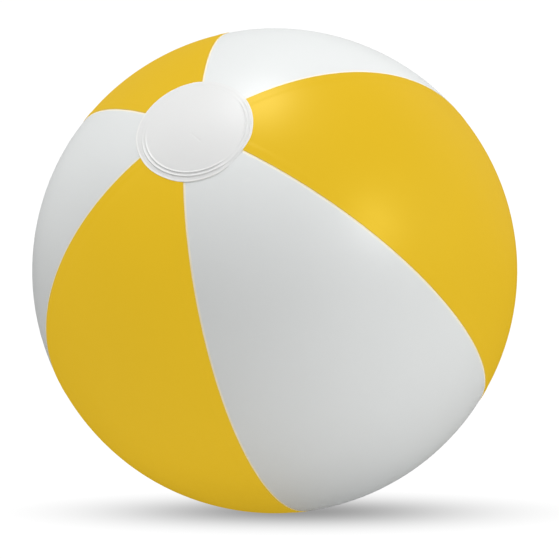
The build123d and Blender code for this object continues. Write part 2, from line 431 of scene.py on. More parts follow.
def draw_line(name, points, aside):
    """A line of edges, drawn by extruding a point. It is left in edit mode, all selected."""
    clear_selection()
    bpy.ops.mesh.primitive_plane_add(size=MM)
    piece = named(name)
    bpy.ops.object.mode_set(mode="EDIT")
    bpy.ops.mesh.select_mode(type="VERT")
    bpy.ops.mesh.select_all(action="SELECT")
    bpy.ops.mesh.merge(type="CENTER")
    bpy.ops.transform.translate(value=(points[0][0], aside, points[0][1]))
    for (start_out, start_up), (out, up) in zip(points, points[1:]):
        step = (out - start_out, 0.0, up - start_up)
        bpy.ops.mesh.extrude_vertices_move(TRANSFORM_OT_translate={"value": step})
    bpy.ops.mesh.select_all(action="SELECT")
    bpy.ops.mesh.remove_doubles(threshold=MERGE)
    return piece


def spin_outline(name, outline):
    """A round piece: its half-outline is drawn and spun about Z."""
    piece = draw_line(name, outline, 0.0)
    bpy.ops.mesh.spin(steps=SPIN_STEPS, angle=2 * math.pi, center=(0, 0, 0), axis=(0, 0, 1))
    bpy.ops.mesh.select_all(action="SELECT")
    bpy.ops.mesh.remove_doubles(threshold=MERGE)
    turn_out()
    return piece


def arc(middle, radius, start, end, steps):
    """Points along an arc, from one angle in degrees to another."""
    points = []
    for step in range(steps + 1):
        angle = math.radians(start + (end - start) * step / steps)
        points.append((middle[0] + radius * math.cos(angle), middle[1] + radius * math.sin(angle)))
    return points


def run(start, end, steps):
    """Evenly spaced points along a straight run, without its two ends."""
    points = []
    for step in range(1, steps):
        at = step / steps
        points.append((start[0] + (end[0] - start[0]) * at, start[1] + (end[1] - start[1]) * at))
    return points


def unite(piece, other):
    """Fuses another object into a piece."""
    apply_modifier(piece, "BOOLEAN", operation="UNION", solver="EXACT", object=other)
    bpy.data.objects.remove(other)


# Gores


def edge_spacing(at, reach):
    """Distance of a column from its gore's edge: half of the columns lie close together in a band there."""
    narrow_band, more_band = 9.0 * MM, 4.0 * MM
    narrow_gore, wide_gore = 20.0 * MM, 60.0 * MM
    band = narrow_band + more_band * smooth(narrow_gore, wide_gore, reach)
    band_share = 0.5
    crowding = 1.35
    if at < band_share:
        return band * (at / band_share) ** crowding
    return band + (reach - band) * (at - band_share) / (1.0 - band_share)


def seam_step(ball, inset, under):
    """How far a film steps at a weld: half a film up for the upper one and down for the lower one."""
    half = (ball.film + ball.weld_line) / 2
    if under:
        return -half * (1.0 - smooth(0.0, ball.weld_slope, inset))
    return half * (1.0 - smooth(ball.weld_lap, ball.weld_lap + ball.weld_slope, inset))


def seam_draw(ball, inset, along, seam):
    """How a seam draws the film in, with fine uneven puckers. It is the same for the films on both sides."""
    drift_scale, vary_scale, pucker_reach = 31.0 * MM, 23.0 * MM, 5.0 * MM
    drift = noise.noise(Vector((along / drift_scale, 7.0 * seam, 0.5)))
    vary = 0.6 + 0.4 * noise.noise(Vector((along / vary_scale, 3.0 * seam, 4.5)))
    wave = math.sin(2 * math.pi * (along / ball.pucker_pitch + 0.8 * drift))
    pucker = ball.pucker * vary * wave * bell(inset, pucker_reach)
    return -ball.seam_dip * bell(inset, ball.seam_reach) + pucker


def film_slack(ball, place):
    """The slow unevenness of a blown-up film."""
    coarse_scale, fine_scale = 62.0 * MM, 27.0 * MM
    coarse = noise.noise(place / coarse_scale)
    fine = noise.noise(place / fine_scale + Vector((5.0, 1.0, 8.0)))
    return ball.slack * (0.7 * coarse + 0.3 * fine)


def press_on_floor(height):
    """A point's height over the floor, with the lowest part of the ball pressed flat."""
    soft = 0.12 * MM
    if height > 20 * soft:
        return height
    return soft * math.log1p(math.exp(height / soft))


def add_gore(ball, name):
    """A gore's even grid: half a circle is cut to length and spun from seam to seam about the pole axis."""
    radius = ball.diameter / 2
    gore_angle = 2 * math.pi / ball.gore_count
    clear_selection()
    bpy.ops.mesh.primitive_circle_add(
        vertices=2 * MERIDIAN_STEPS, radius=radius, rotation=(math.pi / 2, 0.0, 0.0)
    )
    gore = named(name)
    bpy.ops.object.transform_apply(location=False, rotation=True, scale=False)
    bpy.ops.object.mode_set(mode="EDIT")
    pick(gore, "VERT", lambda vert: vert.co.x < ball.end_opening / 2)
    bpy.ops.mesh.delete(type="VERT")
    bpy.ops.mesh.select_all(action="SELECT")
    bpy.ops.mesh.spin(steps=GORE_COLUMNS, angle=gore_angle, center=(0, 0, 0), axis=(0, 0, 1))
    turn_out()
    turns = [math.atan2(vert.co.y, vert.co.x) for vert in gore.data.vertices]
    middle = (min(turns) + max(turns)) / 2
    gore.data.transform(Matrix.Rotation(-middle, 4, "Z"))
    return gore


def space_columns(ball, gore, under):
    """Draws a gore's columns towards its edges, and widens an under gore by its laps."""
    radius = ball.diameter / 2
    half_angle = math.pi / ball.gore_count
    for vert in gore.data.vertices:
        out = math.hypot(vert.co.x, vert.co.y)
        column = math.atan2(vert.co.y, vert.co.x) / half_angle
        reach = out * half_angle + (ball.weld_lap if under else 0.0)
        across = reach - edge_spacing(max(0.0, 1.0 - abs(column)), reach)
        angle = math.copysign(across / out, column)
        vert.co = Vector((out * math.cos(angle), out * math.sin(angle), vert.co.z)).normalized() * radius


def cut_valve_hole(ball, valve, gore):
    """Replaces the grid round the valve by rings of film about its hole, out to the weld ring and past it."""
    radius = ball.diameter / 2
    axis = Matrix.Rotation(math.pi - valve.angle, 4, "Y")
    back = axis.inverted()

    def by_valve(face):
        place = back @ face.calc_center_median()
        return place.z > 0 and math.hypot(place.x, place.y) < valve.grid_start

    choose(gore)
    bpy.ops.object.mode_set(mode="EDIT")
    pick(gore, "FACE", by_valve)
    bpy.ops.mesh.delete(type="FACE")
    middle = axis @ Vector((0.0, 0.0, radius))
    bpy.ops.mesh.primitive_circle_add(
        vertices=HOLE_SIDES, radius=valve.opening, location=middle, rotation=(0.0, math.pi - valve.angle, 0.0)
    )
    at = valve.opening
    wide_step, close_step, close_reach = 0.9 * MM, 0.18 * MM, 1.6 * MM
    while at < valve.patch:
        near_ring = bell(at - valve.ring, close_reach)
        following = min(valve.patch, at + wide_step - (wide_step - close_step) * near_ring)
        bpy.ops.mesh.extrude_edges_move(TRANSFORM_OT_translate={"value": (0.0, 0.0, 0.0)})
        scale = following / at
        bpy.ops.transform.resize(value=(scale, scale, scale), center_override=middle)
        at = following
    shape = bmesh.from_edit_mesh(gore.data)
    for vert in shape.verts:
        vert.co = vert.co.normalized() * radius
    bmesh.update_edit_mesh(gore.data)

    def beside_gap(edge):
        place = back @ ((edge.verts[0].co + edge.verts[1].co) / 2)
        out = math.hypot(place.x, place.y)
        return edge.is_boundary and place.z > 0 and valve.ring < out < 2 * valve.grid_start

    pick(gore, "EDGE", beside_gap)
    bpy.ops.mesh.fill(use_beauty=True)
    turn_out()


def seam_drift(ball, seam, place):
    """A seam's turn from its even place at a point of the ball: a flat cut in front, and even on the back."""
    up = place.z
    out = math.hypot(place.x, place.y)
    seam_angle = 2 * math.pi * seam / ball.gore_count
    there = Vector((out * math.cos(seam_angle), out * math.sin(seam_angle), up))
    facing = -(ball_frame(ball).to_3x3() @ there).y
    drift = ball.seam_lean[seam % 6] * up + ball.seam_bow[seam % 6] * out
    return drift * smooth(FACING_BACK, FACING_FRONT, facing) / (out * ball.diameter / 2)


def shape_gore(settings, gore, index, under):
    """Gives a gore its seams, its slack and its place, and notes each point's distance from the seam."""
    ball, valve = settings.ball, settings.valve
    radius = ball.diameter / 2
    gore_angle = 2 * math.pi / ball.gore_count
    gore_turn = (index + 0.5) * gore_angle
    to_place = Matrix.Rotation(gore_turn, 4, "Z")
    to_floor = ball_frame(ball)
    valve_axis = Matrix.Rotation(math.pi - valve.angle, 4, "Y") @ Vector((0.0, 0.0, 1.0))
    insets = []
    for vert in gore.data.vertices:
        place = vert.co.normalized()
        out = math.hypot(place.x, place.y) * radius
        angle = math.atan2(place.y, place.x)
        along = math.acos(place.z) * radius
        inset = out * (gore_angle / 2 - abs(angle))
        seam = (index + (1 if angle > 0 else 0)) % ball.gore_count
        height = seam_step(ball, inset, under) + seam_draw(ball, inset, along, seam)
        height += film_slack(ball, to_place @ place * radius)
        if index == valve.gore:
            from_valve = (place - valve_axis).length * radius
            height += valve.ring_rise * bell(from_valve - valve.ring, valve.ring_half)
            height *= smooth(HOLE_EVEN, HOLE_FREE, from_valve / valve.opening)
        insets.append(inset)
        across = 0.5 + angle / gore_angle
        first = seam_drift(ball, index, place)
        second = seam_drift(ball, (index + 1) % ball.gore_count, place)
        twist = first + (second - first) * across
        if index == valve.gore:
            twist *= smooth(VALVE_HELD, VALVE_FREE, from_valve / valve.opening)
        place = Matrix.Rotation(twist, 3, "Z") @ place
        point = to_floor @ (to_place @ (place * (radius + height)))
        point.z = press_on_floor(point.z)
        vert.co = point
    note_insets(gore, insets)


class BALL_OT_gores(Operator):
    """Make the six film gores, lapped at their seams"""

    bl_idname = "beach_ball.gores"
    bl_label = "Make Gores"

    def execute(self, context):
        settings = context.scene.beach_ball
        ball = settings.ball
        finishes = {
            "white": film_material("white_vinyl_film", settings.finish, "white"),
            "yellow": film_material("yellow_vinyl_film", settings.finish, "yellow"),
        }
        for index in range(ball.gore_count):
            under = index % 2 == 0
            colour = "white" if under else "yellow"
            node = f"gore_{colour}_{index // 2 + 1}"
            gore = add_gore(ball, f"film_{node}")
            space_columns(ball, gore, under)
            if index == settings.valve.gore:
                cut_valve_hole(ball, settings.valve, gore)
            shape_gore(settings, gore, index, under)
            apply_modifier(gore, "SOLIDIFY", thickness=ball.film, offset=-1.0)
            shade(gore)
            dress(gore, finishes[colour], "skin", f"{colour}_film", node)
        return {"FINISHED"}


# Discs


def between(bearing, low, high, fade):
    """1 from one bearing to another, in degrees, and a smooth fall to 0 outside them."""
    turned = (bearing - low) % 360.0
    span = high - low
    return 1.0 - smooth(0.0, fade, min(max(turned - span, 0.0), 360.0 - turned))


def in_places(bearing, places):
    """1 inside any of some stretches of bearings, and a smooth fall to 0 outside them."""
    return max(between(bearing, *stretch) for stretch in places)


def disc_relief(ball, disc, x, y, flush):
    """Height of a disc's face over the ball: film, curled rim, two weld rings, crown and crease."""
    out = math.hypot(x, y)
    bearing = math.degrees(math.atan2(y, x))
    rim = disc.diameter / 2
    height = disc.lift + ball.film
    height -= (height - disc.flush_height) * flush * smooth(rim - disc.flush_width, rim, out)
    low_curl, more_curl = 0.5, 0.7
    curl = (low_curl + more_curl * between(bearing, *HIGH_CURL)) * (1.0 - flush)
    round_start, round_drop = rim - 0.25 * MM, 0.12 * MM
    height += disc.lip_height * curl * smooth(rim - disc.lip_width, round_start, out)
    height -= round_drop * (1.0 - flush) * smooth(round_start, rim, out)
    shift_x = disc.ring_shift * math.cos(disc.ring_bearing)
    shift_y = disc.ring_shift * math.sin(disc.ring_bearing)
    from_rings = math.hypot(x - shift_x, y - shift_y)
    outer = disc.ring_diameter / 2
    below = between(bearing, *RINGS_BELOW) * (1.0 - between(bearing, *RINGS_MISSED))
    beside_share, press_scale = 0.65, 9.0 * MM
    beside = beside_share * between(bearing, *RINGS_BESIDE)
    pressed = disc.ring_faint + (1.0 - disc.ring_faint) * max(below, beside)
    for ring in (outer, outer - disc.ring_pitch):
        uneven = 0.85 + 0.15 * noise.noise(Vector((x, y, ring)) / press_scale)
        flank = disc.ring_outside if from_rings > ring else disc.ring_inside
        height += disc.ring_height * pressed * uneven * bell(from_rings - ring, flank)
    height += disc.crown * (1.0 - smooth(0.0, outer - 2 * disc.ring_pitch, out))
    start, place = Vector(disc.crease_start), Vector((x, y))
    crease = Vector(disc.crease_end) - start
    along = min(1.0, max(0.0, (place - start).dot(crease) / crease.length_squared))
    shallow_share = 0.4
    deep = disc.crease_depth * (shallow_share + (1.0 - shallow_share) * along)
    height -= deep * bell((place - start - crease * along).length, disc.crease_width)
    return height


class BALL_OT_discs(Operator):
    """Make the film discs over the two poles, with their weld rings"""

    bl_idname = "beach_ball.discs"
    bl_label = "Make Pole Discs"

    def execute(self, context):
        settings = context.scene.beach_ball
        ball, disc = settings.ball, settings.disc
        finish = film_material("disc_vinyl_film", settings.finish, "disc")
        first = add_disc(disc)
        lean_axis = Vector((-math.sin(disc.bearing), math.cos(disc.bearing), 0.0))
        lean = Matrix.Rotation(2 * disc.shift / ball.diameter, 4, lean_axis)
        for name, node, over, flush_rim in (
            ("film_disc_front", "pole_disc_front", lean, True),
            ("film_disc_rear", "pole_disc_rear", Matrix.Rotation(math.pi, 4, "X"), False),
        ):
            choose(first)
            bpy.ops.object.duplicate()
            piece = named(name)
            place_disc(ball, disc, piece, ball_frame(ball) @ over, flush_rim)
            apply_modifier(piece, "SOLIDIFY", thickness=ball.film, offset=-1.0)
            shade(piece)
            dress(piece, finish, "skin", "white_film", node)
        bpy.data.objects.remove(first)
        return {"FINISHED"}


def add_disc(disc):
    """A flat round face, inset ring by ring, with close rings at the weld rings, the rim and the crease."""
    rim = disc.diameter / 2
    rim_step, wide_step, crease_step = 0.11 * MM, 0.9 * MM, 0.25 * MM
    crease_out, middle_out = 12.5 * MM, 1.2 * MM
    close_to = disc.ring_diameter / 2 - disc.ring_pitch - disc.ring_shift - 4 * disc.ring_inside
    clear_selection()
    bpy.ops.mesh.primitive_circle_add(vertices=DISC_SIDES, radius=rim, fill_type="NGON")
    piece = named("disc_blank")
    bpy.ops.object.mode_set(mode="EDIT")
    bpy.ops.mesh.select_mode(type="FACE")
    bpy.ops.mesh.select_all(action="SELECT")
    out = rim
    while out > middle_out:
        step = rim_step if out > close_to else (wide_step if out > crease_out else crease_step)
        bpy.ops.mesh.inset(thickness=step, depth=0.0)
        out -= step
    bpy.ops.mesh.poke()
    bpy.ops.object.mode_set(mode="OBJECT")
    return piece


def place_disc(ball, disc, piece, to_floor, flush_rim):
    """Lays a flat disc on the ball and raises its relief, with its rim flush in places or proud all round."""
    radius = ball.diameter / 2
    rim = disc.diameter / 2
    longer = Vector((math.cos(disc.stretch_bearing), math.sin(disc.stretch_bearing)))
    insets = []
    for vert in piece.data.vertices:
        flat = vert.co.xy
        out = flat.length
        bearing = math.degrees(math.atan2(flat.y, flat.x))
        flush = in_places(bearing, FLUSH_PLACES) if flush_rim else 0.0
        height = disc_relief(ball, disc, flat.x, flat.y, flush)
        insets.append(rim - out + disc.flush_width * flush)
        cut = disc.cut_depth * in_places(bearing, CUT_PLACES) * smooth(disc.ring_diameter / 2, rim, out)
        flat = flat * (1.0 - cut / max(out, MERGE))
        flat = flat * (1.0 - disc.stretch) + longer * (2 * disc.stretch * flat.dot(longer))
        up = math.sqrt(radius**2 - flat.length_squared)
        vert.co = to_floor @ (Vector((flat.x, flat.y, up)) * ((radius + height) / radius))
    note_insets(piece, insets)


# Valve


def fit_part(settings, piece, body, node):
    """Puts a part of the valve in its place, shades it and dresses it."""
    piece.data.transform(valve_frame(settings.ball, settings.valve))
    shade(piece)
    dress(piece, vinyl_material(settings.finish), body, "clear_vinyl", node)


class BALL_OT_valve_cup(Operator):
    """Make the thin cup that rolls when the stem is pressed in or pulled out"""

    bl_idname = "beach_ball.valve_cup"
    bl_label = "Make Valve Cup"

    def execute(self, context):
        settings = context.scene.beach_ball
        valve = settings.valve
        mouth = (valve.cup_mouth, valve.cup_top)
        turn_middle = (valve.cup_foot - valve.cup_round, valve.cup_floor + valve.cup_round)
        wall_end = (valve.cup_foot, turn_middle[1])
        play = 0.05 * MM
        bore = (valve.stem_radius + play, valve.cup_floor)
        outline = [mouth] + run(mouth, wall_end, 20)
        outline += arc(turn_middle, valve.cup_round, 0, -90, 8)
        outline += run((turn_middle[0], valve.cup_floor), bore, 4) + [bore]
        cup = spin_outline("soft_valve_cup", outline)
        apply_modifier(cup, "SOLIDIFY", thickness=valve.cup_wall, offset=0.0)
        fit_part(settings, cup, None, "valve_cup")
        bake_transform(cup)
        return {"FINISHED"}


class BALL_OT_valve_stem(Operator):
    """Make the stem that is blown into, with its rim and foot"""

    bl_idname = "beach_ball.valve_stem"
    bl_label = "Make Valve Stem"

    def execute(self, context):
        settings = context.scene.beach_ball
        valve = settings.valve
        foot = valve.stem_radius + valve.stem_foot_lip
        rim = valve.stem_radius + valve.stem_rim_lip
        outline = [
            (valve.stem_bore, valve.stem_end),
            (foot, valve.stem_end),
            (foot, valve.stem_end + valve.stem_foot),
            (valve.stem_radius, valve.stem_end + valve.stem_foot),
            (valve.stem_radius, valve.stem_top - valve.stem_rim),
            (rim, valve.stem_top - valve.stem_rim),
            (rim, valve.stem_top),
            (valve.stem_bore, valve.stem_top),
            (valve.stem_bore, valve.stem_end),
        ]
        stem = spin_outline("moulded_valve_stem", outline)
        soften(stem, valve.stem_edge, 3)
        fit_part(settings, stem, "stem", "valve_stem")
        return {"FINISHED"}


class BALL_OT_valve_plug(Operator):
    """Make the plug, with its dished head, pull tab and hollow shank"""

    bl_idname = "beach_ball.valve_plug"
    bl_label = "Make Valve Plug"

    def execute(self, context):
        settings = context.scene.beach_ball
        valve = settings.valve
        rim_width, dish_slope = 1.0 * MM, 0.5 * MM
        rim = valve.plug_radius - rim_width
        outline = [
            (0.0, valve.plug_top - valve.plug_dish),
            (rim - dish_slope, valve.plug_top - valve.plug_dish),
            (rim, valve.plug_top),
            (valve.plug_radius, valve.plug_top),
            (valve.plug_radius, valve.plug_low),
            (valve.shank_radius, valve.plug_low),
            (valve.shank_radius, valve.plug_low + (valve.shank_tip - valve.plug_low) / 3),
            (valve.shank_radius - valve.shank_taper, valve.shank_tip),
            (valve.shank_core, valve.shank_tip),
            (valve.shank_core, valve.plug_low),
            (0.0, valve.plug_low),
        ]
        plug = spin_outline("moulded_valve_plug", outline)
        soften(plug, valve.plug_edge, 3)
        unite(plug, add_tab(valve))
        fit_part(settings, plug, "plug", "valve_plug")
        return {"FINISHED"}


def add_tab(valve):
    """The plug's pull tab: a circle drawn out to a slot, extruded and rounded."""
    end = valve.tab_width / 2
    middle = -valve.tab_reach + end
    clear_selection()
    bpy.ops.mesh.primitive_circle_add(
        vertices=TAB_SIDES, radius=end, fill_type="NGON", location=(middle, 0.0, valve.plug_low)
    )
    tab = named("pull_tab")
    bpy.ops.object.transform_apply(location=True, rotation=False, scale=False)
    bpy.ops.object.mode_set(mode="EDIT")
    pick(tab, "VERT", lambda vert: vert.co.x > middle + MERGE)
    bpy.ops.transform.translate(value=(-middle - 2 * end, 0.0, 0.0))
    bpy.ops.mesh.select_all(action="SELECT")
    bpy.ops.mesh.extrude_region_move(TRANSFORM_OT_translate={"value": (0.0, 0.0, valve.tab_thickness)})
    turn_out()
    soften(tab, valve.tab_edge, 3)
    return tab


class BALL_OT_plug_strap(Operator):
    """Make the strap: a ring round the stem's neck and a folded ribbon up to the plug"""

    bl_idname = "beach_ball.plug_strap"
    bl_label = "Make Plug Strap"

    def execute(self, context):
        settings = context.scene.beach_ball
        valve = settings.valve
        strap = add_ribbon(valve)
        ring_low = valve.strap_ring_height - valve.strap_thickness / 2
        ring_high = valve.strap_ring_height + valve.strap_thickness / 2
        ring_outline = [
            (valve.strap_ring_bore, ring_low),
            (valve.strap_ring, ring_low),
            (valve.strap_ring, ring_high),
            (valve.strap_ring_bore, ring_high),
            (valve.strap_ring_bore, ring_low),
        ]
        ring = spin_outline("strap_ring", ring_outline)
        soften(ring, valve.strap_edge, 2)
        unite(strap, ring)
        fit_part(settings, strap, None, "plug_strap")
        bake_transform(strap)
        return {"FINISHED"}


def add_ribbon(valve):
    """The strap's ribbon: its middle line is drawn, widened and given its thickness."""
    bend = valve.strap_bend
    inner_leg = valve.strap_ring + bend
    outer_leg = inner_leg + 2 * bend
    neck = valve.strap_ring_height
    into_ring, off_plug = 0.5 * MM, 0.02 * MM
    line = [(valve.strap_ring - into_ring, neck)]
    line += arc((valve.strap_ring, neck - bend), bend, 90, 0, 6)
    line += run((inner_leg, neck - bend), (inner_leg, valve.strap_turn), 8)
    line += arc((inner_leg + bend, valve.strap_turn), bend, 180, 360, 12)
    line += run((outer_leg, valve.strap_turn), (outer_leg, valve.strap_head - bend), 40)
    line += arc((inner_leg + bend, valve.strap_head - bend), bend, 0, 90, 6)
    line += [(valve.plug_radius + off_plug, valve.strap_head)]
    ribbon = draw_line("soft_plug_strap", line, -valve.strap_width / 2)
    bpy.ops.mesh.extrude_edges_move(TRANSFORM_OT_translate={"value": (0.0, valve.strap_width, 0.0)})
    turn_out()
    apply_modifier(ribbon, "SOLIDIFY", thickness=valve.strap_thickness, offset=0.0)
    soften(ribbon, valve.strap_edge, 2)
    return ribbon


class BALL_OT_valve_fittings(Operator):
    """Give the flange under the film and the check flap their finish"""

    bl_idname = "beach_ball.valve_fittings"
    bl_label = "Finish Flange and Flap"

    def execute(self, context):
        finish = vinyl_material(context.scene.beach_ball.finish)
        for node in ("valve_flange", "check_flap"):
            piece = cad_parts[node]
            piece.data.materials.clear()
            piece.data.materials.append(finish)
        return {"FINISHED"}


# Materials


def new_group(name, inputs, outputs):
    """An empty shader node group, from its inputs' starting values and its outputs' kinds."""
    group = bpy.data.node_groups.new(name, "ShaderNodeTree")
    for socket, value in inputs.items():
        kind = "NodeSocketFloat" if isinstance(value, float) else "NodeSocketColor"
        group.interface.new_socket(socket, in_out="INPUT", socket_type=kind).default_value = value
    for socket, kind in outputs.items():
        group.interface.new_socket(socket, in_out="OUTPUT", socket_type=kind)
    start = group.nodes.new("NodeGroupInput")
    end = group.nodes.new("NodeGroupOutput")
    return group, start, end


def fill_inputs(tree, node, inputs):
    """Sets a node's inputs, by name or place, to numbers or colours, or links them to other sockets."""
    for key, value in inputs.items():
        socket = node.inputs[key]
        if isinstance(value, bpy.types.NodeSocket):
            tree.links.new(value, socket)
        elif socket.type == "RGBA":
            socket.default_value = (*value, 1.0)
        else:
            socket.default_value = value


def add_node(tree, kind, inputs, **settings):
    """A shader node with its settings and inputs."""
    node = tree.nodes.new(kind)
    for key, value in settings.items():
        setattr(node, key, value)
    fill_inputs(tree, node, inputs)
    return node


def noise_node(tree, vector, scale, detail, rough):
    """A noise texture on a vector."""
    inputs = {"Vector": vector, "Scale": scale, "Detail": detail, "Roughness": rough}
    return add_node(tree, "ShaderNodeTexNoise", inputs).outputs["Fac"]


def ramp(tree, value, low, high, to_low, to_high):
    """A smooth change from one value to another."""
    inputs = {"Value": value, "From Min": low, "From Max": high, "To Min": to_low, "To Max": to_high}
    return add_node(tree, "ShaderNodeMapRange", inputs, interpolation_type="SMOOTHSTEP").outputs["Result"]


def maths(tree, operation, first, second):
    """A sum, product or the like of two sockets or numbers."""
    return add_node(tree, "ShaderNodeMath", {0: first, 1: second}, operation=operation).outputs["Value"]


def mix_colour(tree, factor, first, second):
    """One colour laid over another by a mask. The colour sockets are the node's seventh and eighth."""
    inputs = {"Factor": factor, 6: first, 7: second}
    return add_node(tree, "ShaderNodeMix", inputs, data_type="RGBA").outputs[2]


def vinyl_skin_group():
    """The skin of calendered vinyl, on object coordinates: slow mottle, fine grain and sparse marks."""
    if "vinyl_skin" in bpy.data.node_groups:
        return bpy.data.node_groups["vinyl_skin"]
    inputs = {"Colour": (0.8, 0.8, 0.8, 1.0), "Mottle": 0.03, "Roughness": 0.4, "Marks": 0.3}
    outputs = {"Colour": "NodeSocketColor", "Roughness": "NodeSocketFloat", "Height": "NodeSocketFloat"}
    group, start, end = new_group("vinyl_skin", inputs, outputs)
    place = group.nodes.new("ShaderNodeTexCoord").outputs["Object"]
    slow = noise_node(group, place, 14.0, 3.0, 0.5)
    grain = noise_node(group, place, 900.0, 2.0, 0.55)
    dots = noise_node(group, place, 210.0, 1.0, 0.4)
    patches = noise_node(group, place, 24.0, 2.0, 0.5)
    dots = ramp(group, dots, 0.70, 0.76, 0.0, 1.0)
    patches = ramp(group, patches, 0.5, 0.62, 0.0, 1.0)
    marks = maths(group, "MULTIPLY", maths(group, "MULTIPLY", dots, patches), start.outputs["Marks"])
    dark = group.nodes.new("ShaderNodeHueSaturation")
    shift = maths(group, "MULTIPLY", maths(group, "SUBTRACT", slow, 0.5), start.outputs["Mottle"])
    group.links.new(maths(group, "ADD", maths(group, "MULTIPLY", shift, 2.0), 1.0), dark.inputs["Value"])
    group.links.new(start.outputs["Colour"], dark.inputs["Color"])
    coloured = mix_colour(group, marks, dark.outputs["Color"], MARK_TINT)
    group.links.new(coloured, end.inputs["Colour"])
    rough_spread, rough_marks, slow_height = 0.12, 0.2, 4.0
    uneven = maths(group, "MULTIPLY", maths(group, "SUBTRACT", slow, 0.5), rough_spread)
    worn = maths(group, "MULTIPLY", marks, rough_marks)
    rough = maths(group, "ADD", maths(group, "ADD", start.outputs["Roughness"], uneven), worn)
    group.links.new(rough, end.inputs["Roughness"])
    height = maths(group, "ADD", grain, maths(group, "MULTIPLY", slow, slow_height))
    group.links.new(height, end.inputs["Height"])
    return group


def weld_tint_and_highlight_group():
    """Colours a film by the distance from its edge: a fine line at the weld, which on the white film is a
    painted highlight.
    """
    if "weld_tint" in bpy.data.node_groups:
        return bpy.data.node_groups["weld_tint"]
    inputs = {"Film": (0.8, 0.8, 0.8, 1.0), "Edge": (0.9, 0.9, 0.9, 1.0), "Inset": 0.0, "Line": 0.5 * MM}
    group, start, end = new_group("weld_tint", inputs, {"Colour": "NodeSocketColor"})
    across = maths(group, "DIVIDE", start.outputs["Inset"], start.outputs["Line"])
    line = ramp(group, across, 0.55, 1.1, 1.0, 0.0)
    coloured = mix_colour(group, line, start.outputs["Film"], start.outputs["Edge"])
    group.links.new(coloured, end.inputs["Colour"])
    return group


def place_group(tree, group, **values):
    """Puts a node group into a material with its own values, given by socket name."""
    return add_node(tree, "ShaderNodeGroup", values, node_tree=group)


def new_material(name):
    """A material with an empty Principled shader."""
    material = bpy.data.materials.new(name)
    material.use_nodes = True
    return material, material.node_tree, material.node_tree.nodes["Principled BSDF"]


def bump(tree, height, strength, distance):
    """A bump from a height."""
    inputs = {"Height": height, "Strength": strength, "Distance": distance}
    return add_node(tree, "ShaderNodeBump", inputs).outputs["Normal"]


def lay_skin(tree, shader, skin, strength, distance):
    """Links a skin's colour, roughness and relief to the shader of a vinyl."""
    tree.links.new(skin.outputs["Colour"], shader.inputs["Base Color"])
    tree.links.new(skin.outputs["Roughness"], shader.inputs["Roughness"])
    tree.links.new(bump(tree, skin.outputs["Height"], strength, distance), shader.inputs["Normal"])
    shader.inputs["IOR"].default_value = VINYL_IOR


def film_material(name, finish, colour):
    """Satin vinyl film, with its weld line and its fine skin; the yellow film also has a painted glow."""
    film = getattr(finish, colour)
    edge = getattr(finish, f"{colour}_edge")
    gloss = finish.gloss_yellow if colour == "yellow" else finish.gloss_white
    material, tree, shader = new_material(name)
    inset = add_node(tree, "ShaderNodeAttribute", {}, attribute_name=INSET_NOTE).outputs["Fac"]
    # The weld line is a painted highlight on the white film, and partly one along the disc's rim
    line = 1.25 * MM if colour == "white" else 0.8 * MM
    weld = place_group(tree, weld_tint_and_highlight_group(), Film=film, Edge=edge, Inset=inset, Line=line)
    marks = 0.0 if colour == "yellow" else 0.05
    skin = place_group(
        tree, vinyl_skin_group(), Colour=weld.outputs["Colour"], Mottle=0.02, Roughness=gloss, Marks=marks
    )
    lay_skin(tree, shader, skin, strength=0.25, distance=0.02 * MM)
    shader.inputs["Specular IOR Level"].default_value = 0.5
    if colour == "yellow":
        shader.inputs["Specular Tint"].default_value = (*finish.yellow_sheen, 1.0)
        # Painted glow: the yellow film emits light in its own colour in place of daylight through the film,
        # painted darker close to the floor as shade
        place = tree.nodes.new("ShaderNodeTexCoord").outputs["Object"]
        parts = add_node(tree, "ShaderNodeSeparateXYZ", {"Vector": place})
        dim = ramp(tree, parts.outputs["Z"], 0.0, finish.glow_floor_shade_rise, finish.glow_floor_shade, 1.0)
        inputs = {0: skin.outputs["Colour"], "Scale": dim}
        daylight = add_node(tree, "ShaderNodeVectorMath", inputs, operation="SCALE")
        tree.links.new(daylight.outputs["Vector"], shader.inputs["Emission Color"])
        shader.inputs["Emission Strength"].default_value = finish.yellow_painted_glow
    return material


def vinyl_material(finish):
    """Soft milky vinyl of the moulded valve."""
    if "valve_vinyl" in bpy.data.materials:
        return bpy.data.materials["valve_vinyl"]
    material, tree, shader = new_material("valve_vinyl")
    skin = place_group(
        tree, vinyl_skin_group(), Colour=finish.vinyl, Mottle=0.05, Roughness=finish.gloss_vinyl, Marks=0.15
    )
    lay_skin(tree, shader, skin, strength=0.3, distance=0.03 * MM)
    shader.inputs["Transmission Weight"].default_value = 0.35
    return material


# Stage


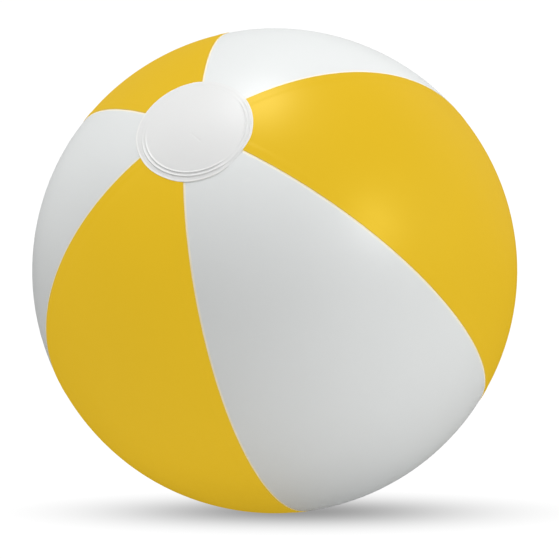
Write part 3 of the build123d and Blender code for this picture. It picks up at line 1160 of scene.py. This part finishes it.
def floor_material(stage):
    """A plain white floor with a painted soft shadow for the camera, matt to the light that it throws back.
    """
    material, tree, shader = new_material("pale_floor")
    path = tree.nodes.new("ShaderNodeLightPath")
    shader.inputs["Roughness"].default_value = 0.9
    shader.inputs["Specular IOR Level"].default_value = 0.0
    shader.inputs["Emission Color"].default_value = (*WHITE, 1.0)
    matt = mix_colour(tree, path.outputs["Is Diffuse Ray"], BLACK, stage.floor)
    tree.links.new(matt, shader.inputs["Base Color"])
    # Painted shadow: the camera sees a set soft oval of darker emission under the ball, not a shadow cast by
    # the lights; glossy rays see the floor black
    place = tree.nodes.new("ShaderNodeTexCoord").outputs["Object"]
    wide, deep = stage.shadow_width, stage.shadow_depth
    inputs = {
        0: place,
        1: (1.0 / wide, 1.0 / deep, 0.0),
        2: (-stage.shadow_right / wide, stage.shadow_front / deep, 0.0),
    }
    across = add_node(tree, "ShaderNodeVectorMath", inputs, operation="MULTIPLY_ADD").outputs["Vector"]
    reach = add_node(tree, "ShaderNodeVectorMath", {0: across}, operation="LENGTH")
    spread = maths(tree, "MULTIPLY", maths(tree, "POWER", reach.outputs["Value"], 2.0), -1.0)
    shadow = maths(tree, "MULTIPLY", maths(tree, "EXPONENT", spread, 0.0), stage.shadow_gain)
    seen = maths(tree, "SUBTRACT", stage.shadow_base + stage.shadow_gain, shadow)
    seen = maths(tree, "MULTIPLY", path.outputs["Is Camera Ray"], seen)
    bounce = maths(tree, "MULTIPLY", path.outputs["Is Diffuse Ray"], stage.floor_glow)
    tree.links.new(maths(tree, "ADD", seen, bounce), shader.inputs["Emission Strength"])
    return material


def studio_sky(stage):
    """An even white studio, plain white behind the object."""
    world = bpy.data.worlds.new("studio")
    bpy.context.scene.world = world
    world.use_nodes = True
    tree = world.node_tree
    light = tree.nodes["Background"]
    fill_inputs(tree, light, {"Color": WHITE, "Strength": stage.sky})
    behind = add_node(tree, "ShaderNodeBackground", {"Color": WHITE, "Strength": stage.backdrop})
    camera_ray = tree.nodes.new("ShaderNodeLightPath").outputs["Is Camera Ray"]
    inputs = {"Fac": camera_ray, 1: light.outputs["Background"], 2: behind.outputs["Background"]}
    seen = add_node(tree, "ShaderNodeMixShader", inputs)
    tree.links.new(seen.outputs["Shader"], tree.nodes["World Output"].inputs["Surface"])


def softbox(name, place, aim, size, power, glint):
    """A soft area light aimed at a point. A fill light leaves no glint."""
    clear_selection()
    bpy.ops.object.light_add(type="AREA", location=place)
    lamp = bpy.context.object
    lamp.name = name
    lamp.data.shape = "RECTANGLE"
    lamp.data.size, lamp.data.size_y = size
    lamp.data.energy = power
    lamp.rotation_euler = (Vector(aim) - Vector(place)).to_track_quat("-Z", "Y").to_euler()
    lamp.visible_glossy = glint


class BALL_OT_stage(Operator):
    """Make the floor, the lights and the camera"""

    bl_idname = "beach_ball.stage"
    bl_label = "Make Stage"

    def execute(self, context):
        settings = context.scene.beach_ball
        ball, stage = settings.ball, settings.stage
        radius = ball.diameter / 2
        middle = Vector((0.0, 0.0, radius - ball.floor_flat))
        clear_selection()
        bpy.ops.mesh.primitive_circle_add(vertices=FLOOR_SIDES, radius=stage.floor_reach, fill_type="NGON")
        floor = named("floor")
        floor.data.materials.append(floor_material(stage))
        studio_sky(stage)
        for power, name, place, size, glint in LIGHTS:
            softbox(name, place, middle, size, getattr(stage, power), glint)
        camera_data = bpy.data.cameras.new("photo_camera")
        camera = bpy.data.objects.new("photo_camera", camera_data)
        context.collection.objects.link(camera)
        reach = stage.camera_reach * radius
        away = Vector((0.0, -math.cos(stage.camera_rise), math.sin(stage.camera_rise)))
        camera.location = middle + away * reach
        camera.rotation_euler = (-away).to_track_quat("-Z", "Y").to_euler()
        focal = stage.outline * math.sqrt(stage.camera_reach**2 - 1)
        camera_data.sensor_fit = "HORIZONTAL"
        camera_data.lens = focal / PHOTO_SIDE * camera_data.sensor_width
        camera_data.shift_x = stage.left / PHOTO_SIDE
        camera_data.shift_y = -stage.above / PHOTO_SIDE
        camera_data.clip_start = 0.05
        camera_data.clip_end = 50.0
        context.scene.camera = camera
        context.scene.view_settings.view_transform = "Standard"
        context.scene.view_settings.look = "None"
        return {"FINISHED"}


STEPS = (
    BALL_OT_gores,
    BALL_OT_discs,
    BALL_OT_valve_cup,
    BALL_OT_valve_stem,
    BALL_OT_valve_plug,
    BALL_OT_plug_strap,
    BALL_OT_valve_fittings,
    BALL_OT_stage,
)


class BALL_PT_panel(Panel):
    """Lists the ball's steps and settings"""

    bl_idname = "BALL_PT_panel"
    bl_label = "Beach Ball"
    bl_space_type = "VIEW_3D"
    bl_region_type = "UI"
    bl_category = "Beach Ball"

    def draw(self, context):
        settings = context.scene.beach_ball
        for group in (settings.ball, settings.disc, settings.valve, settings.finish, settings.stage):
            box = self.layout.box()
            for name in group.__annotations__:
                box.prop(group, name)
        for step in STEPS:
            self.layout.operator(step.bl_idname)


CLASSES = (BallSizes, DiscSizes, ValveSizes, Finishes, StageLook, BeachBall, *STEPS, BALL_PT_panel)


def register():
    """Registers the classes and the scene's settings."""
    for item in CLASSES:
        bpy.utils.register_class(item)
    bpy.types.Scene.beach_ball = PointerProperty(type=BeachBall)


def unregister():
    """Takes the classes and the settings away again."""
    del bpy.types.Scene.beach_ball
    for item in reversed(CLASSES):
        bpy.utils.unregister_class(item)


def main():
    """Makes every piece and the stage."""
    register()
    bpy.ops.beach_ball.gores()
    bpy.ops.beach_ball.discs()
    bpy.ops.beach_ball.valve_cup()
    bpy.ops.beach_ball.valve_stem()
    bpy.ops.beach_ball.valve_plug()
    bpy.ops.beach_ball.plug_strap()
    bpy.ops.beach_ball.valve_fittings()
    bpy.ops.beach_ball.stage()


if __name__ == "__main__":
    main()
